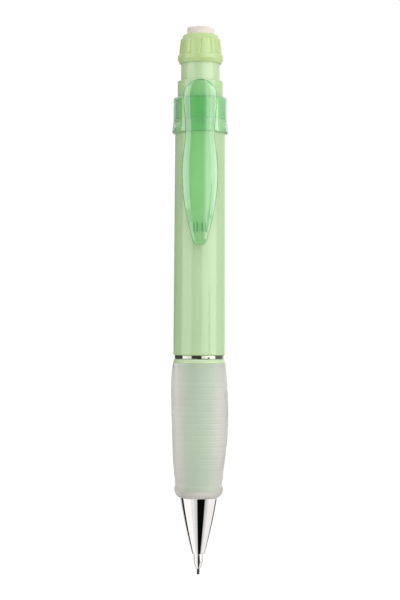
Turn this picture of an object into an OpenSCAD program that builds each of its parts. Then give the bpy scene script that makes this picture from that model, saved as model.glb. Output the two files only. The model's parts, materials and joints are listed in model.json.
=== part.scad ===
// Mechanical pencil with a twist-up eraser, upright on its lead.
// The origin is the writing point, +Z runs along the axis to the eraser, and the clip faces -Y.

/* [Lead] */
// Diameter of the lead
lead_d = 0.7; // [0.5:0.1:0.9]
// Length of lead that stands out of the nose
lead_out = 1.55; // [0.8:0.05:2.5]
// Length of one lead
lead_len = 60; // [55:1:66]
// Number of spare leads in the tube
spare_count = 4; // [1:1:5]

/* [Nose and tip cone] */
// Wall of the nose at its writing end
nose_tip_wall = 0.16; // [0.12:0.02:0.3]
// Diameter of the nose behind its taper
nose_d = 2.3; // [2.1:0.05:2.6]
// Length of the nose's rounded taper
nose_taper_len = 2.2; // [1.5:0.1:2.5]
// Length of the nose's straight part in front of the cone
nose_straight_len = 1.5; // [1.2:0.1:2.2]
// Diameter of the nose's root inside the cone
nose_root_d = 1.9; // [1.7:0.05:2.0]
// Length of the nose's root inside the cone
nose_root_len = 2.95; // [2.6:0.05:3.6]
// Diameter of the cone at its front
cone_front_d = 3.1; // [2.9:0.05:3.5]
// Wall of the cone around the barrel's spigot
cone_wall = 1.02; // [0.9:0.02:1.3]
// Swelling of the cone's side beyond a straight taper
cone_bulge = 0.2; // [0.1:0.05:0.3]
// Length of cone hidden under the grip's lip
cone_seat_len = 2; // [1.6:0.1:2.4]

/* [Grip] */
// Length of the grip sleeve
grip_len = 34.5; // [31:0.5:40]
// Largest diameter of the grip
grip_max_d = 14.6; // [14:0.1:15.6]
// Height of the largest diameter above the grip's lower end
grip_max_at = 22.3; // [19:0.1:25]
// Diameter of the grip at its top
grip_top_d = 13.44; // [13:0.02:13.9]
// Diameter of the waist above the lip
grip_neck_d = 11.86; // [11.4:0.02:12.2]
// Height of the waist above the grip's lower end
grip_neck_at = 3.6; // [3.4:0.1:4.2]
// Diameter of the rolled lip
grip_lip_d = 12.44; // [12.2:0.02:12.9]
// Radius of the rolled lip
grip_lip_round = 2.4; // [2.1:0.05:2.6]
// Distance between neighbouring grip rings
grip_ring_pitch = 1.5; // [1:0.1:2]
// Depth of the grooves between the grip rings
grip_ring_depth = 0.07; // [0.03:0.01:0.15]
// Smooth length at each end of the ringed zone
grip_ring_margin = 3; // [2:0.5:6]

/* [Front barrel] */
// Wall of the core under the grip
core_wall = 0.9; // [0.8:0.05:1.1]
// How much narrower the core's radius is at its lower end
core_taper = 0.35; // [0:0.05:0.4]
// Diameter of the flange where it meets the grip
flange_d = 13.3; // [12.9:0.05:13.6]
// How much narrower the flange's radius is at its top
flange_draft = 0.25; // [0.1:0.05:0.4]
// Thickness of the flange above the grip
flange_len = 1.1; // [0.9:0.1:1.5]
// Wall of the spigot inside the cone
spigot_wall = 0.8; // [0.6:0.05:1]
// Length of the spigot inside the cone
spigot_len = 5.5; // [5:0.1:5.9]
// Length of the joint inside the barrel
joint_len = 7; // [5:0.5:10]
// Diameter of the trim ring
ring_d = 12.6; // [12.2:0.1:13]
// Thickness of the trim ring
ring_len = 1; // [0.6:0.1:1.6]

/* [Barrel] */
// Wall of the neck
neck_wall = 0.76; // [0.6:0.02:1]
// Length of the neck
neck_len = 10; // [9:0.5:12]
// Step from the neck out to the barrel
neck_step = 0.58; // [0.5:0.02:0.8]
// How much wider the barrel is at its lower end
barrel_taper = 0.48; // [0:0.02:0.8]
// Extra bore radius below the neck
bore_relief = 0.15; // [0.1:0.05:0.3]
// Rounding of the barrel's lower edge
barrel_round = 0.3; // [0.1:0.05:0.5]
// Rounding of the neck's top edge
neck_round = 0.6; // [0.3:0.05:0.7]

/* [Clip] */
// Wall of the collar around the neck
collar_wall = 1.1; // [1:0.05:1.5]
// Height of the collar above the barrel's shoulder
collar_up = 5.65; // [4.5:0.05:6.5]
// Height of the collar's skirt below the barrel's shoulder
collar_down = 3.5; // [2.5:0.1:4.5]
// How far the skirt's lip stands out from the collar
collar_flare = 0.2; // [0.1:0.05:0.4]
// Rounding of the collar's top edge
collar_round = 0.8; // [0.4:0.05:0.9]
// Length of the arm
arm_len = 41.9; // [36:0.1:50]
// Width of the arm at its widest
arm_w = 9.2; // [8.4:0.1:10]
// Width of the arm at its waist
arm_waist_w = 7.5; // [6.8:0.1:8.2]
// Width of the arm's top lobe
arm_lobe_w = 8.5; // [7.8:0.1:9.2]
// Width of the arm's tip
arm_tip_w = 4; // [3.4:0.1:5]
// Thickness of the arm at its root
arm_thick = 1.6; // [1.3:0.05:2]
// Thickness of the arm at its tip
arm_tip_thick = 1.2; // [1:0.05:1.5]
// Space between the collar and the arm
arm_standoff = 0.7; // [0.6:0.05:1.2]
// Outward bow of the arm between stem and tip
arm_bow = 0.35; // [0.1:0.05:0.6]
// Width of the stem that carries the arm
stem_w = 3.3; // [2.8:0.1:4]
// Width of one contact rib under the tip
rib_w = 0.85; // [0.6:0.05:1.2]
// Length of the contact ribs under the tip
rib_len = 2.3; // [1.8:0.1:3]
// Distance of each contact rib from the arm's middle
rib_spread = 1; // [0.8:0.05:1.3]
// Distance of the arm's waist below its top
arm_waist_at = 13.3; // [12:0.1:15]
// Distance of the arm's widest place below its top
arm_wide_at = 23.1; // [20:0.1:26]

/* [Push action] */
// Travel of the push action
knock_travel = 4; // [3:0.1:4.4]
// Travel of the clutch ring before it stops
clutch_travel = 1.6; // [1.2:0.1:1.9]
// Length of the return spring in place
spring_len = 9.9; // [9:0.1:12]
// Diameter of the spring wire
spring_wire_d = 0.4; // [0.3:0.05:0.45]
// Mean diameter of the spring
spring_d = 4.5; // [4.3:0.1:4.8]
// Turns of the spring
spring_turns = 8; // [6:0.5:9]

/* [Chuck] */
// Wall of the chuck's stem
stem_wall = 0.9; // [0.75:0.05:1]
// Step from the chuck's stem out to its head
head_step = 0.55; // [0.45:0.05:0.65]
// Length of the chuck's jaws
jaw_len = 10; // [9:0.1:11]
// Straight length of the chuck's head
head_len = 2.5; // [2:0.1:3]
// Angle of one slit between the jaws
slit_angle = 14; // [8:1:20]
// Wall of the clutch ring around the chuck's head
clutch_wall = 0.65; // [0.5:0.05:0.75]
// Length of the clutch ring
clutch_len = 3; // [2.6:0.1:3.4]

/* [Lead tube] */
// Diameter of the lead tube
tube_d = 5.8; // [5.4:0.1:6.2]
// Wall of the lead tube
tube_wall = 0.5; // [0.4:0.05:0.6]
// Radial clearance of the tube's funnel head in the barrel
funnel_gap = 0.4; // [0.2:0.05:0.8]
// Height of the tube's funnel head
funnel_len = 4; // [3:0.1:5]
// Depth to which the plug enters the tube
plug_tail_len = 3.1; // [2.4:0.1:4]

/* [Eraser] */
// Diameter of the eraser
eraser_d = 6.9; // [6.4:0.05:7.2]
// Length of eraser that stands out of the knob
eraser_out = 1.9; // [1:0.1:3]
// Further length that the knob can screw out
eraser_travel = 13.5; // [10:0.5:15]
// Rise of the eraser in one turn of the knob
spiral_lead = 10; // [9:0.5:12]
// Diameter of the lugs on the eraser holder
lug_d = 1.2; // [1:0.05:1.3]
// Rounding of the eraser's top edge
eraser_round = 0.5; // [0.3:0.05:1]

/* [Knob] */
// Wall of the spiral sleeve
sleeve_wall = 0.65; // [0.6:0.05:0.9]
// Wall of the push tube
push_wall = 0.68; // [0.6:0.01:0.8]
// Wall of the knob's flange
knob_flange_wall = 0.76; // [0.7:0.01:1.1]
// Wall of the knob's ribbed part at its top
knob_wall = 0.92; // [0.85:0.01:1.1]
// How much thicker the ribbed part is at its foot
knob_draft = 0.4; // [0.1:0.05:0.45]
// Height of the knob's flange
knob_flange_len = 2.4; // [2.2:0.1:3]
// Height of the knob's ribs
knob_rib_len = 3.8; // [3.4:0.1:6]
// Height of the smooth cap above the ribs
knob_cap_len = 1.2; // [1:0.1:1.6]
// How far the cap lies inside the ribs
knob_cap_inset = 0.35; // [0.3:0.05:0.4]
// How much narrower the cap's radius is at its top
knob_cap_draft = 0.35; // [0.1:0.05:0.4]
// Rounding of the cap's top edge
knob_cap_round = 0.4; // [0.2:0.05:0.4]
// Gap between the knob and the neck when the knob is pushed home
knob_gap = 0.45; // [0.3:0.05:0.8]
// Number of ribs around the knob
knob_ribs = 12; // [8:1:16]
// Radius of the groove between two ribs
knob_groove_r = 0.3; // [0.2:0.02:0.36]
// Height of the snap bead on the push tube
bead_h = 0.15; // [0.1:0.01:0.2]

/* [Fits] */
// Radial clearance of sliding and turning pieces
run_gap = 0.1; // [0.06:0.01:0.1]
// Radial clearance around the lead
lead_gap = 0.04; // [0.02:0.01:0.06]
// End clearance between moving pieces
end_gap = 0.3; // [0.2:0.05:0.4]
// Clearance between pieces that meet face to face and then part
touch_gap = 0.05; // [0.02:0.01:0.08]

/* [Hidden] */
$fn = 72;

mint = [0.72, 0.88, 0.74];
clear_green = [0.45, 0.80, 0.55, 0.8];
frosted = [0.82, 0.88, 0.84, 0.8];
bright_metal = [0.80, 0.81, 0.83];
brass_metal = [0.78, 0.65, 0.38];
white_plastic = [0.92, 0.93, 0.92];
graphite = [0.25, 0.25, 0.27];
black_rubber = [0.12, 0.12, 0.12];

// Radii from the axis outwards
lead_r = lead_d / 2;
sleeve_bore_r = eraser_d / 2 + run_gap;
sleeve_r = sleeve_bore_r + sleeve_wall;
push_bore_r = sleeve_r + run_gap;
push_r = push_bore_r + push_wall;
neck_bore_r = push_r + run_gap;
neck_r = neck_bore_r + neck_wall;
barrel_top_r = neck_r + neck_step;
barrel_low_r = barrel_top_r + barrel_taper / 2;
joint_r = neck_bore_r + bore_relief;
collar_r = neck_r + collar_wall;
flare_r = collar_r + collar_flare;
knob_bore_r = push_r + run_gap;
knob_flange_r = knob_bore_r + knob_flange_wall;
knob_top_r = sleeve_r + knob_wall;
knob_low_r = knob_top_r + knob_draft;
tube_r = tube_d / 2;
tube_bore_r = tube_r - tube_wall;
funnel_r = joint_r - funnel_gap;
coupling_rim = 0.1;
coupling_flange_r = tube_r + coupling_rim;
core_bore_r = coupling_flange_r + 3 * run_gap;
core_r = core_bore_r + core_wall;
core_low_r = core_r - core_taper;
chuck_room = 0.15;
chuck_bore_r = lead_r + chuck_room;
jaw_bore_r = lead_r + touch_gap / 2;
stem_r = chuck_bore_r + stem_wall;
head_r = stem_r + head_step;
clutch_r = head_r + clutch_wall;
clutch_bore_r = clutch_r + touch_gap;
clutch_sleeve_wall = 0.25;
clutch_sleeve_r = clutch_bore_r + clutch_sleeve_wall;
spigot_r = clutch_sleeve_r + spigot_wall;
cone_back_r = spigot_r + cone_wall;
nose_bore_r = lead_r + lead_gap;
nose_tip_r = nose_bore_r + nose_tip_wall;
retainer_rim = 0.55;
retainer_r = nose_root_d / 2 + retainer_rim;
jaw_spread = 0.35;
cavity_r = head_r + jaw_spread;

// Heights of the nose, cone and clutch
nose_z = lead_out;
nose_taper_z = nose_z + nose_taper_len;
cone_z = nose_taper_z + nose_straight_len;
retainer_z = cone_z + nose_root_len;
retainer_len = 1.2;
cavity_z = retainer_z + retainer_len;
head_z = cavity_z + 2 * end_gap + knock_travel;
clutch_z = head_z + head_len;
clutch_top_z = clutch_z + clutch_len;
clutch_stop_z = clutch_z - clutch_travel;
core_above_clutch = 1.9;
core_z = clutch_top_z + core_above_clutch;
spigot_z = core_z - spigot_len;
grip_z = core_z - cone_seat_len;
jaw_root_z = head_z + jaw_len;
jaw_taper_len = 3;
jaw_grip_len = 4;

// Heights of the spring, coupling and lead tube
ledge_above_core = 2.6;
spring_ledge_z = core_z + ledge_above_core;
spring_ledge_len = 0.6;
spring_z = spring_ledge_z + spring_ledge_len;
coupling_z = spring_z + spring_len;
coupling_flange_len = 1.5;
tube_z = coupling_z + coupling_flange_len;
coupling_spigot_len = 2.5;
magazine_z = tube_z + coupling_spigot_len;
spare_room = 0.9;
plug_tail_z = magazine_z + lead_len + spare_room;
plug_z = plug_tail_z + plug_tail_len;
plug_flange_len = 1;
plug_spigot_len = 3.4;
push_z = plug_z + plug_flange_len;
tube_top_z = plug_z - touch_gap;

// Heights of the eraser screw
sleeve_z = push_z + plug_spigot_len + end_gap;
slot_gap = 0.15;
slot_half = lug_d / 2 + slot_gap;
holder_foot = lug_d;
lug_z = sleeve_z + end_gap + holder_foot + eraser_out + touch_gap;
slot_low_z = lug_z - eraser_out - slot_half;
slot_top_z = lug_z + eraser_travel + slot_half;
slot_cover = 1.3;

// Heights of the barrels and the knob
ring_z = grip_z + grip_len + flange_len;
flange_z = grip_z + grip_len;
barrel_z = ring_z + ring_len;
neck_top_z = slot_top_z + slot_cover;
shoulder_z = neck_top_z - neck_len;
neck_bore_depth = 3;
neck_bore_z = shoulder_z - neck_bore_depth;
knob_z = neck_top_z + knock_travel + knob_gap;
knob_rib_z = knob_z + knob_flange_len;
knob_cap_z = knob_rib_z + knob_rib_len;
knob_top_z = knob_cap_z + knob_cap_len;
push_top_z = knob_rib_z - 2 * touch_gap;
sleeve_cover = 0.5;
sleeve_top_z = knob_cap_z - sleeve_cover;
bead_z = knob_z + knob_flange_len / 2;
bead_len = 0.5;
eraser_top_z = knob_top_z + eraser_out;
holder_len = 5;
holder_z = lug_z - holder_foot;
holder_floor = 0.8;
holder_r = sleeve_bore_r - run_gap;
holder_wall = 0.65;
eraser_foot_r = holder_r - holder_wall;

// Places of the clip
collar_z = shoulder_z - collar_down;
collar_top_z = shoulder_z + collar_up;
pad_y = flare_r + touch_gap;
arm_back = collar_r + arm_standoff;
arm_drop = 0.5;
arm_top_z = neck_top_z - arm_drop;
arm_low_z = arm_top_z - arm_len;
lobe_len = 4;
lobe_z = arm_top_z - lobe_len;
waist_z = arm_top_z - arm_waist_at;
wide_z = arm_top_z - arm_wide_at;
tip_round = arm_tip_w / 2;
tip_z = arm_low_z + tip_round;
rib_at = 4.6;
rib_z = arm_low_z + rib_at;
rib_gap = 0.1;
rib_stand = 0.65;
tip_lift = 0.4;
arm_steps = 44;
arm_edge = 0.5;
arm_flat = 0.66;

// Radius of the barrel's side at a height
function barrel_r(z) =
    barrel_low_r + (barrel_top_r - barrel_low_r) * (z - barrel_z) / (shoulder_z - barrel_z);

// Points of an arc about a centre
function arc(c, r, a0, a1, n = 8) =
    [for (i = [0 : n]) let (a = a0 + (a1 - a0) * i / n) c + r * [cos(a), sin(a)]];

// Smooth step from a to b
function ease(a, b, t) = a + (b - a) * (0.5 - 0.5 * cos(180 * t));

// Radius of the grip's side above its waist, without its rings
grip_top_curve = 2.6;
grip_low_curve = 1.9;
function grip_side(h) = h > grip_max_at
    ? let (t = (h - grip_max_at) / (grip_len - grip_max_at))
        grip_max_d / 2 - (grip_max_d - grip_top_d) / 2 * pow(t, grip_top_curve)
    : let (t = (grip_max_at - h) / (grip_max_at - grip_neck_at))
        grip_max_d / 2 - (grip_max_d - grip_neck_d) / 2 * pow(t, grip_low_curve);

// Depth of the ring grooves at a height above the grip's lower end
function grip_groove(h) = h < grip_ring_low || h > grip_ring_top
    ? 0
    : grip_ring_depth * (0.5 - 0.5 * cos(360 * (h - grip_ring_low) / grip_ring_pitch));

grip_ring_low = grip_neck_at + grip_ring_margin;
grip_ring_count = floor((grip_len - grip_ring_margin - grip_ring_low) / grip_ring_pitch);
grip_ring_top = grip_ring_low + grip_ring_count * grip_ring_pitch;

// Half width of the clip arm at a height
function arm_half(z) =
    z > lobe_z ? arm_lobe_w / 2 * sqrt(max(0, 1 - pow((z - lobe_z) / lobe_len, 2)))
    : z > waist_z ? ease(arm_waist_w, arm_lobe_w, (z - waist_z) / (lobe_z - waist_z)) / 2
    : z > wide_z ? ease(arm_w, arm_waist_w, (z - wide_z) / (waist_z - wide_z)) / 2
    : z > tip_z ? arm_tip_w / 2 + (arm_w - arm_tip_w) / 2 * (1 - pow((wide_z - z) / (wide_z - tip_z), 2))
    : tip_round * sqrt(max(0, 1 - pow((tip_z - z) / tip_round, 2)));

// Distance of the arm's back from the axis at a height
arm_rib_back = barrel_r(rib_z) + rib_stand;
function arm_behind(z) =
    z > collar_z ? arm_back
    : z > rib_z ? let (t = (collar_z - z) / (collar_z - rib_z))
        arm_back + (arm_rib_back - arm_back) * t * t + arm_bow * sin(180 * t)
    : arm_rib_back + tip_lift * pow((rib_z - z) / (rib_z - arm_low_z), 2);

// Thickness of the arm at a height
function arm_depth(z) =
    arm_tip_thick + (arm_thick - arm_tip_thick) * min(1, (z - arm_low_z) / (collar_z - arm_low_z));

// Height of section i of the arm, closer together at the round ends
arm_end = 0.02;
function arm_station(i) =
    arm_low_z + arm_len * (0.5 - 0.5 * cos(180 * (arm_end + (1 - 2 * arm_end) * i / arm_steps)));

// Share of the full thickness across the arm, from its edge to its flat middle
function arm_crown(u) = abs(u) < arm_flat
    ? 1
    : arm_edge + (1 - arm_edge) * sqrt(1 - pow((abs(u) - arm_flat) / (1 - arm_flat), 2));

module turned(points) {
    rotate_extrude() polygon(points);
}

module lead() {
    color(graphite) cylinder(d = lead_d, h = lead_len);
}

module nose_sleeve() {
    steps = 8;
    rise = nose_d / 2 - nose_tip_r;
    color(bright_metal) turned(concat(
        [[nose_bore_r, retainer_z], [nose_bore_r, nose_z]],
        [for (i = [0 : steps]) let (t = i / steps)
            [nose_tip_r + rise * sin(90 * t), nose_z + nose_taper_len * t]],
        [[nose_d / 2, cone_z], [nose_root_d / 2, cone_z], [nose_root_d / 2, retainer_z]]
    ));
}

module lead_retainer() {
    color(black_rubber) difference() {
        translate([0, 0, retainer_z]) cylinder(r = retainer_r, h = retainer_len);
        translate([0, 0, retainer_z - 1]) cylinder(r = lead_r + lead_gap / 2, h = retainer_len + 2);
    }
}

module tip_cone() {
    steps = 12;
    color(bright_metal) turned(concat(
        [[nose_root_d / 2, retainer_z], [nose_root_d / 2, cone_z]],
        [for (i = [0 : steps]) let (t = i / steps) [
            cone_front_d / 2 + (cone_back_r - cone_front_d / 2) * t + 4 * cone_bulge * t * (1 - t),
            cone_z + (grip_z - cone_z) * t
        ]],
        [
            [cone_back_r, core_z], [spigot_r, core_z], [spigot_r, spigot_z], [clutch_bore_r, spigot_z],
            [clutch_bore_r, clutch_stop_z - touch_gap], [cavity_r, clutch_stop_z - touch_gap],
            [cavity_r, cavity_z], [retainer_r, cavity_z], [retainer_r, retainer_z]
        ]
    ));
}

module grip_sleeve() {
    seat_r = cone_back_r + touch_gap;
    lip_end = 22;
    lip = [grip_lip_d / 2 - grip_lip_round, grip_z + grip_lip_round];
    lip_start = -acos((seat_r - lip[0]) / grip_lip_round);
    rings_per_turn = 6;
    ring_steps = grip_ring_count * rings_per_turn;
    end_steps = 6;
    lower = [for (i = [0 : end_steps - 1]) grip_neck_at + grip_ring_margin * i / end_steps];
    middle = [for (i = [0 : ring_steps]) grip_ring_low + grip_ring_pitch * i / rings_per_turn];
    upper = [for (i = [1 : end_steps]) grip_ring_top + (grip_len - grip_ring_top) * i / end_steps];
    color(frosted) turned(concat(
        arc(lip, grip_lip_round, lip_start, lip_end, 12),
        [for (h = concat(lower, middle, upper)) [grip_side(h) - grip_groove(h), grip_z + h]],
        [[core_r, flange_z], [core_low_r, core_z], [seat_r, core_z]]
    ));
}

module front_barrel() {
    flange_foot = 0.4 * flange_len;
    color(mint) turned([
        [clutch_sleeve_r, spigot_z], [spigot_r, spigot_z], [spigot_r, core_z], [core_low_r, core_z],
        [core_r, flange_z], [flange_d / 2, flange_z], [flange_d / 2, flange_z + flange_foot],
        [flange_d / 2 - flange_draft, ring_z],
        [joint_r, ring_z], [joint_r, barrel_z + joint_len], [core_bore_r, barrel_z + joint_len],
        [core_bore_r, spring_ledge_z], [clutch_sleeve_r, spring_ledge_z]
    ]);
}

module trim_ring() {
    edge = 0.12;
    color(bright_metal) turned([
        [joint_r, ring_z], [ring_d / 2 - edge, ring_z], [ring_d / 2, ring_z + edge],
        [ring_d / 2, barrel_z - edge], [ring_d / 2 - edge, barrel_z], [joint_r, barrel_z]
    ]);
}

module barrel() {
    low = [barrel_low_r - barrel_round, barrel_z + barrel_round];
    top = [neck_r - neck_round, neck_top_z - neck_round];
    color(mint) turned(concat(
        [[joint_r, barrel_z]],
        arc(low, barrel_round, -90, 0, 5),
        [[barrel_top_r, shoulder_z], [neck_r, shoulder_z]],
        arc(top, neck_round, 0, 90, 6),
        [[neck_bore_r, neck_top_z], [neck_bore_r, neck_bore_z], [joint_r, neck_bore_z]]
    ));
}

module clip_collar() {
    edge = 0.4;
    lip_len = 2.6;
    skirt_r = barrel_r(collar_z);
    color(clear_green) {
        turned(concat(
            [[skirt_r, collar_z]],
            arc([flare_r - edge, collar_z + edge], edge, -90, 0, 5),
            [[flare_r, collar_z + lip_len / 2], [collar_r, collar_z + lip_len]],
            arc([collar_r - collar_round, collar_top_z - collar_round], collar_round, 0, 90, 7),
            [[neck_r, collar_top_z], [neck_r, shoulder_z], [skirt_r, shoulder_z]]
        ));
        difference() {
            translate([-stem_w / 2, -pad_y, collar_z + lip_len])
                cube([stem_w, pad_y, collar_top_z - collar_round - collar_z - lip_len]);
            translate([0, 0, collar_z]) cylinder(r = collar_r - edge, h = collar_top_z - collar_z);
        }
    }
}

module clip_arm() {
    across = 12;
    ring = 2 * across + 2;
    hollow = 0.12;
    function section(z) = let (w = arm_half(z), b = arm_behind(z), d = arm_depth(z)) concat(
        [for (k = [0 : across]) let (u = -cos(180 * k / across)) [w * u, -b - d * arm_crown(u), z]],
        [for (k = [0 : across]) let (u = cos(180 * k / across)) [w * u, -b - hollow * d * (1 - u * u), z]]
    );
    stations = [for (i = [0 : arm_steps]) arm_station(i)];
    points = [for (z = stations) each section(z)];
    sides = [for (i = [0 : arm_steps - 1]) for (k = [0 : ring - 1]) let (n = (k + 1) % ring)
        [i * ring + k, (i + 1) * ring + k, (i + 1) * ring + n, i * ring + n]];
    ends = [[for (k = [0 : ring - 1]) k], [for (k = [ring - 1 : -1 : 0]) arm_steps * ring + k]];
    overlap = 0.4;
    stem_low_z = collar_z + overlap;
    stem_top_z = collar_top_z - overlap;
    rib_back = arm_behind(rib_z) + overlap;
    color(clear_green) union() {
        polyhedron(points, concat(sides, ends), convexity = 6);
        translate([-stem_w / 2, -arm_back - arm_thick / 2, stem_low_z])
            cube([stem_w, arm_back + arm_thick / 2 - pad_y - touch_gap, stem_top_z - stem_low_z]);
        for (side = [-1, 1])
            translate([side * rib_spread - rib_w / 2, -rib_back, rib_z - rib_len / 2])
                cube([rib_w, rib_back - barrel_r(rib_z) - rib_gap, rib_len]);
    }
}

module clutch_sleeve() {
    throat_r = stem_r + 4 * run_gap;
    flange_r = core_bore_r - touch_gap;
    color(brass_metal) turned([
        [clutch_bore_r, spigot_z], [clutch_sleeve_r, spigot_z], [clutch_sleeve_r, spring_ledge_z],
        [flange_r, spring_ledge_z], [flange_r, spring_z], [throat_r, spring_z],
        [throat_r, clutch_top_z + touch_gap], [clutch_bore_r, clutch_top_z + touch_gap]
    ]);
}

module clutch_ring() {
    taper_len = 2 * jaw_taper_len / 3;
    bore_low_r = head_r + touch_gap / 2;
    bore_top_r = stem_r + head_step / 3 + touch_gap;
    color(bright_metal) turned([
        [bore_low_r, clutch_z], [clutch_r, clutch_z], [clutch_r, clutch_top_z],
        [bore_top_r, clutch_top_z], [bore_top_r, clutch_z + taper_len]
    ]);
}

module chuck_stem() {
    color(brass_metal) turned([
        [chuck_bore_r, jaw_root_z + touch_gap], [stem_r, jaw_root_z + touch_gap],
        [stem_r, magazine_z], [chuck_bore_r, magazine_z]
    ]);
}

module chuck_jaw(turn) {
    span = 120 - slit_angle;
    color(brass_metal) rotate([0, 0, turn - span / 2]) rotate_extrude(angle = span) polygon([
        [jaw_bore_r, head_z], [head_r, head_z], [head_r, clutch_z],
        [stem_r, clutch_z + jaw_taper_len], [stem_r, jaw_root_z], [chuck_bore_r, jaw_root_z],
        [chuck_bore_r, head_z + jaw_grip_len], [jaw_bore_r, head_z + jaw_grip_len - 2 * chuck_room]
    ]);
}

module chuck_coupling() {
    funnel = 0.6;
    color(white_plastic) turned([
        [stem_r, coupling_z], [coupling_flange_r, coupling_z], [coupling_flange_r, tube_z],
        [tube_bore_r, tube_z], [tube_bore_r, magazine_z], [stem_r + funnel / 2, magazine_z],
        [stem_r, magazine_z - funnel]
    ]);
}

module return_spring() {
    around = 8;
    per_turn = 20;
    rings = spring_turns * per_turn;
    wire_r = spring_wire_d / 2;
    rise = spring_len - spring_wire_d - 2 * touch_gap;
    function on_wire(i, k) = let (
        t = i / rings,
        a = 360 * spring_turns * t,
        q = 360 * k / around,
        r = spring_d / 2 + wire_r * cos(q),
        z = spring_z + touch_gap + wire_r + rise * (t - sin(360 * t) / 12)
    ) [r * cos(a), r * sin(a), z + wire_r * sin(q)];
    points = [for (i = [0 : rings]) for (k = [0 : around - 1]) on_wire(i, k)];
    sides = [for (i = [0 : rings - 1]) for (k = [0 : around - 1]) let (n = (k + 1) % around)
        [i * around + k, (i + 1) * around + k, (i + 1) * around + n, i * around + n]];
    ends = [[for (k = [0 : around - 1]) k], [for (k = [around - 1 : -1 : 0]) rings * around + k]];
    color(bright_metal) polyhedron(points, concat(sides, ends), convexity = 10);
}

module lead_tube() {
    color(white_plastic) turned([
        [tube_bore_r, tube_z], [tube_r, tube_z], [tube_r, tube_top_z - funnel_len],
        [funnel_r, tube_top_z - funnel_len / 2], [funnel_r, tube_top_z], [tube_bore_r, tube_top_z]
    ]);
}

module spare_leads() {
    ring_r = (lead_r + tube_bore_r) / 2;
    color(graphite) for (i = [0 : spare_count - 1])
        rotate([0, 0, 360 * i / spare_count])
        translate([ring_r, 0, magazine_z])
            cylinder(d = lead_d, h = lead_len);
}

module tube_plug() {
    tail_r = tube_bore_r - touch_gap;
    color(white_plastic) turned([
        [0, plug_tail_z], [tail_r, plug_tail_z], [tail_r, plug_z], [push_r, plug_z], [push_r, push_z],
        [push_bore_r, push_z], [push_bore_r, push_z + plug_spigot_len], [0, push_z + plug_spigot_len]
    ]);
}

module push_tube() {
    slot_w = lug_d + 2 * run_gap;
    color(mint) difference() {
        turned([
            [push_bore_r, push_z], [push_r, push_z], [push_r, bead_z - bead_len],
            [push_r + bead_h, bead_z - bead_len / 4], [push_r + bead_h, bead_z + bead_len / 4],
            [push_r, bead_z + bead_len], [push_r, push_top_z], [push_bore_r, push_top_z]
        ]);
        translate([-2 * push_r, -slot_w / 2, slot_low_z])
            cube([4 * push_r, slot_w, slot_top_z - slot_low_z]);
    }
}

module spiral_sleeve() {
    slot_len = slot_top_z - slot_low_z;
    turn_per_mm = 360 / spiral_lead;
    half_angle = turn_per_mm * slot_half;
    cut_in = 0.5;
    cut_out = 1;
    cut_peak = 1.2;
    cut_slices = 64;
    inner = sleeve_bore_r - cut_in;
    outer = sleeve_r + cut_out;
    color(white_plastic) difference() {
        turned([
            [sleeve_bore_r, sleeve_z], [sleeve_r, sleeve_z], [sleeve_r, sleeve_top_z],
            [sleeve_bore_r, sleeve_top_z]
        ]);
        for (start = [0, 180])
            rotate([0, 0, start + turn_per_mm * (slot_low_z - lug_z)])
            translate([0, 0, slot_low_z])
            linear_extrude(height = slot_len, twist = -turn_per_mm * slot_len, slices = cut_slices, $fn = 6)
                polygon([
                    inner * [cos(half_angle), -sin(half_angle)],
                    outer * [cos(half_angle), -sin(half_angle)],
                    outer * [cut_peak, 0],
                    outer * [cos(half_angle), sin(half_angle)],
                    inner * [cos(half_angle), sin(half_angle)]
                ]);
    }
}

module twist_knob() {
    groove_tilt = atan(knob_draft / knob_rib_len);
    foot_round = 0.45;
    foot_rise = 0.4 * knob_flange_len;
    groove_over = 0.3;
    lead_in = 0.2;
    cap_r = knob_top_r - knob_cap_inset;
    cap_edge = [cap_r - knob_cap_draft - knob_cap_round, knob_top_z - knob_cap_round];
    color(mint) difference() {
        turned(concat(
            [
                [knob_bore_r + lead_in, knob_z], [knob_flange_r - foot_round, knob_z],
                [knob_flange_r, knob_z + foot_rise], [knob_flange_r, knob_rib_z - foot_rise / 2],
                [knob_low_r, knob_rib_z], [knob_top_r, knob_cap_z], [cap_r, knob_cap_z]
            ],
            arc(cap_edge, knob_cap_round, 0, 90, 6),
            [
                [sleeve_bore_r, knob_top_z], [sleeve_bore_r, sleeve_top_z], [sleeve_r, sleeve_top_z],
                [sleeve_r, knob_rib_z], [knob_bore_r, knob_rib_z],
                [knob_bore_r, bead_z + bead_len], [knob_bore_r + bead_h, bead_z + bead_len / 4],
                [knob_bore_r + bead_h, bead_z - bead_len / 4], [knob_bore_r, bead_z - bead_len],
                [knob_bore_r, knob_z + lead_in]
            ]
        ));
        for (i = [0 : knob_ribs - 1])
            rotate([0, 0, 360 * i / knob_ribs])
            translate([0, -knob_low_r, knob_rib_z])
            rotate([-groove_tilt, 0, 0])
                cylinder(r = knob_groove_r, h = knob_rib_len + groove_over);
    }
}

module eraser_holder() {
    lug_root_r = (eraser_foot_r + holder_r) / 2;
    color(white_plastic) {
        turned([
            [0, holder_z], [holder_r, holder_z], [holder_r, holder_z + holder_len],
            [eraser_foot_r, holder_z + holder_len], [eraser_foot_r, holder_z + holder_floor],
            [0, holder_z + holder_floor]
        ]);
        for (side = [0, 180])
            rotate([0, 0, side])
            translate([lug_root_r, 0, lug_z])
            rotate([0, 90, 0])
                cylinder(d = lug_d, h = push_r - 2 * run_gap - lug_root_r);
    }
}

module eraser() {
    r = eraser_d / 2;
    top = [r - eraser_round, eraser_top_z - eraser_round];
    body_z = holder_z + holder_len + touch_gap;
    color(white_plastic) turned(concat(
        [
            [0, holder_z + holder_floor], [eraser_foot_r, holder_z + holder_floor],
            [eraser_foot_r, body_z], [r, body_z]
        ],
        arc(top, eraser_round, 0, 90, 8),
        [[0, eraser_top_z]]
    ));
}

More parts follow.
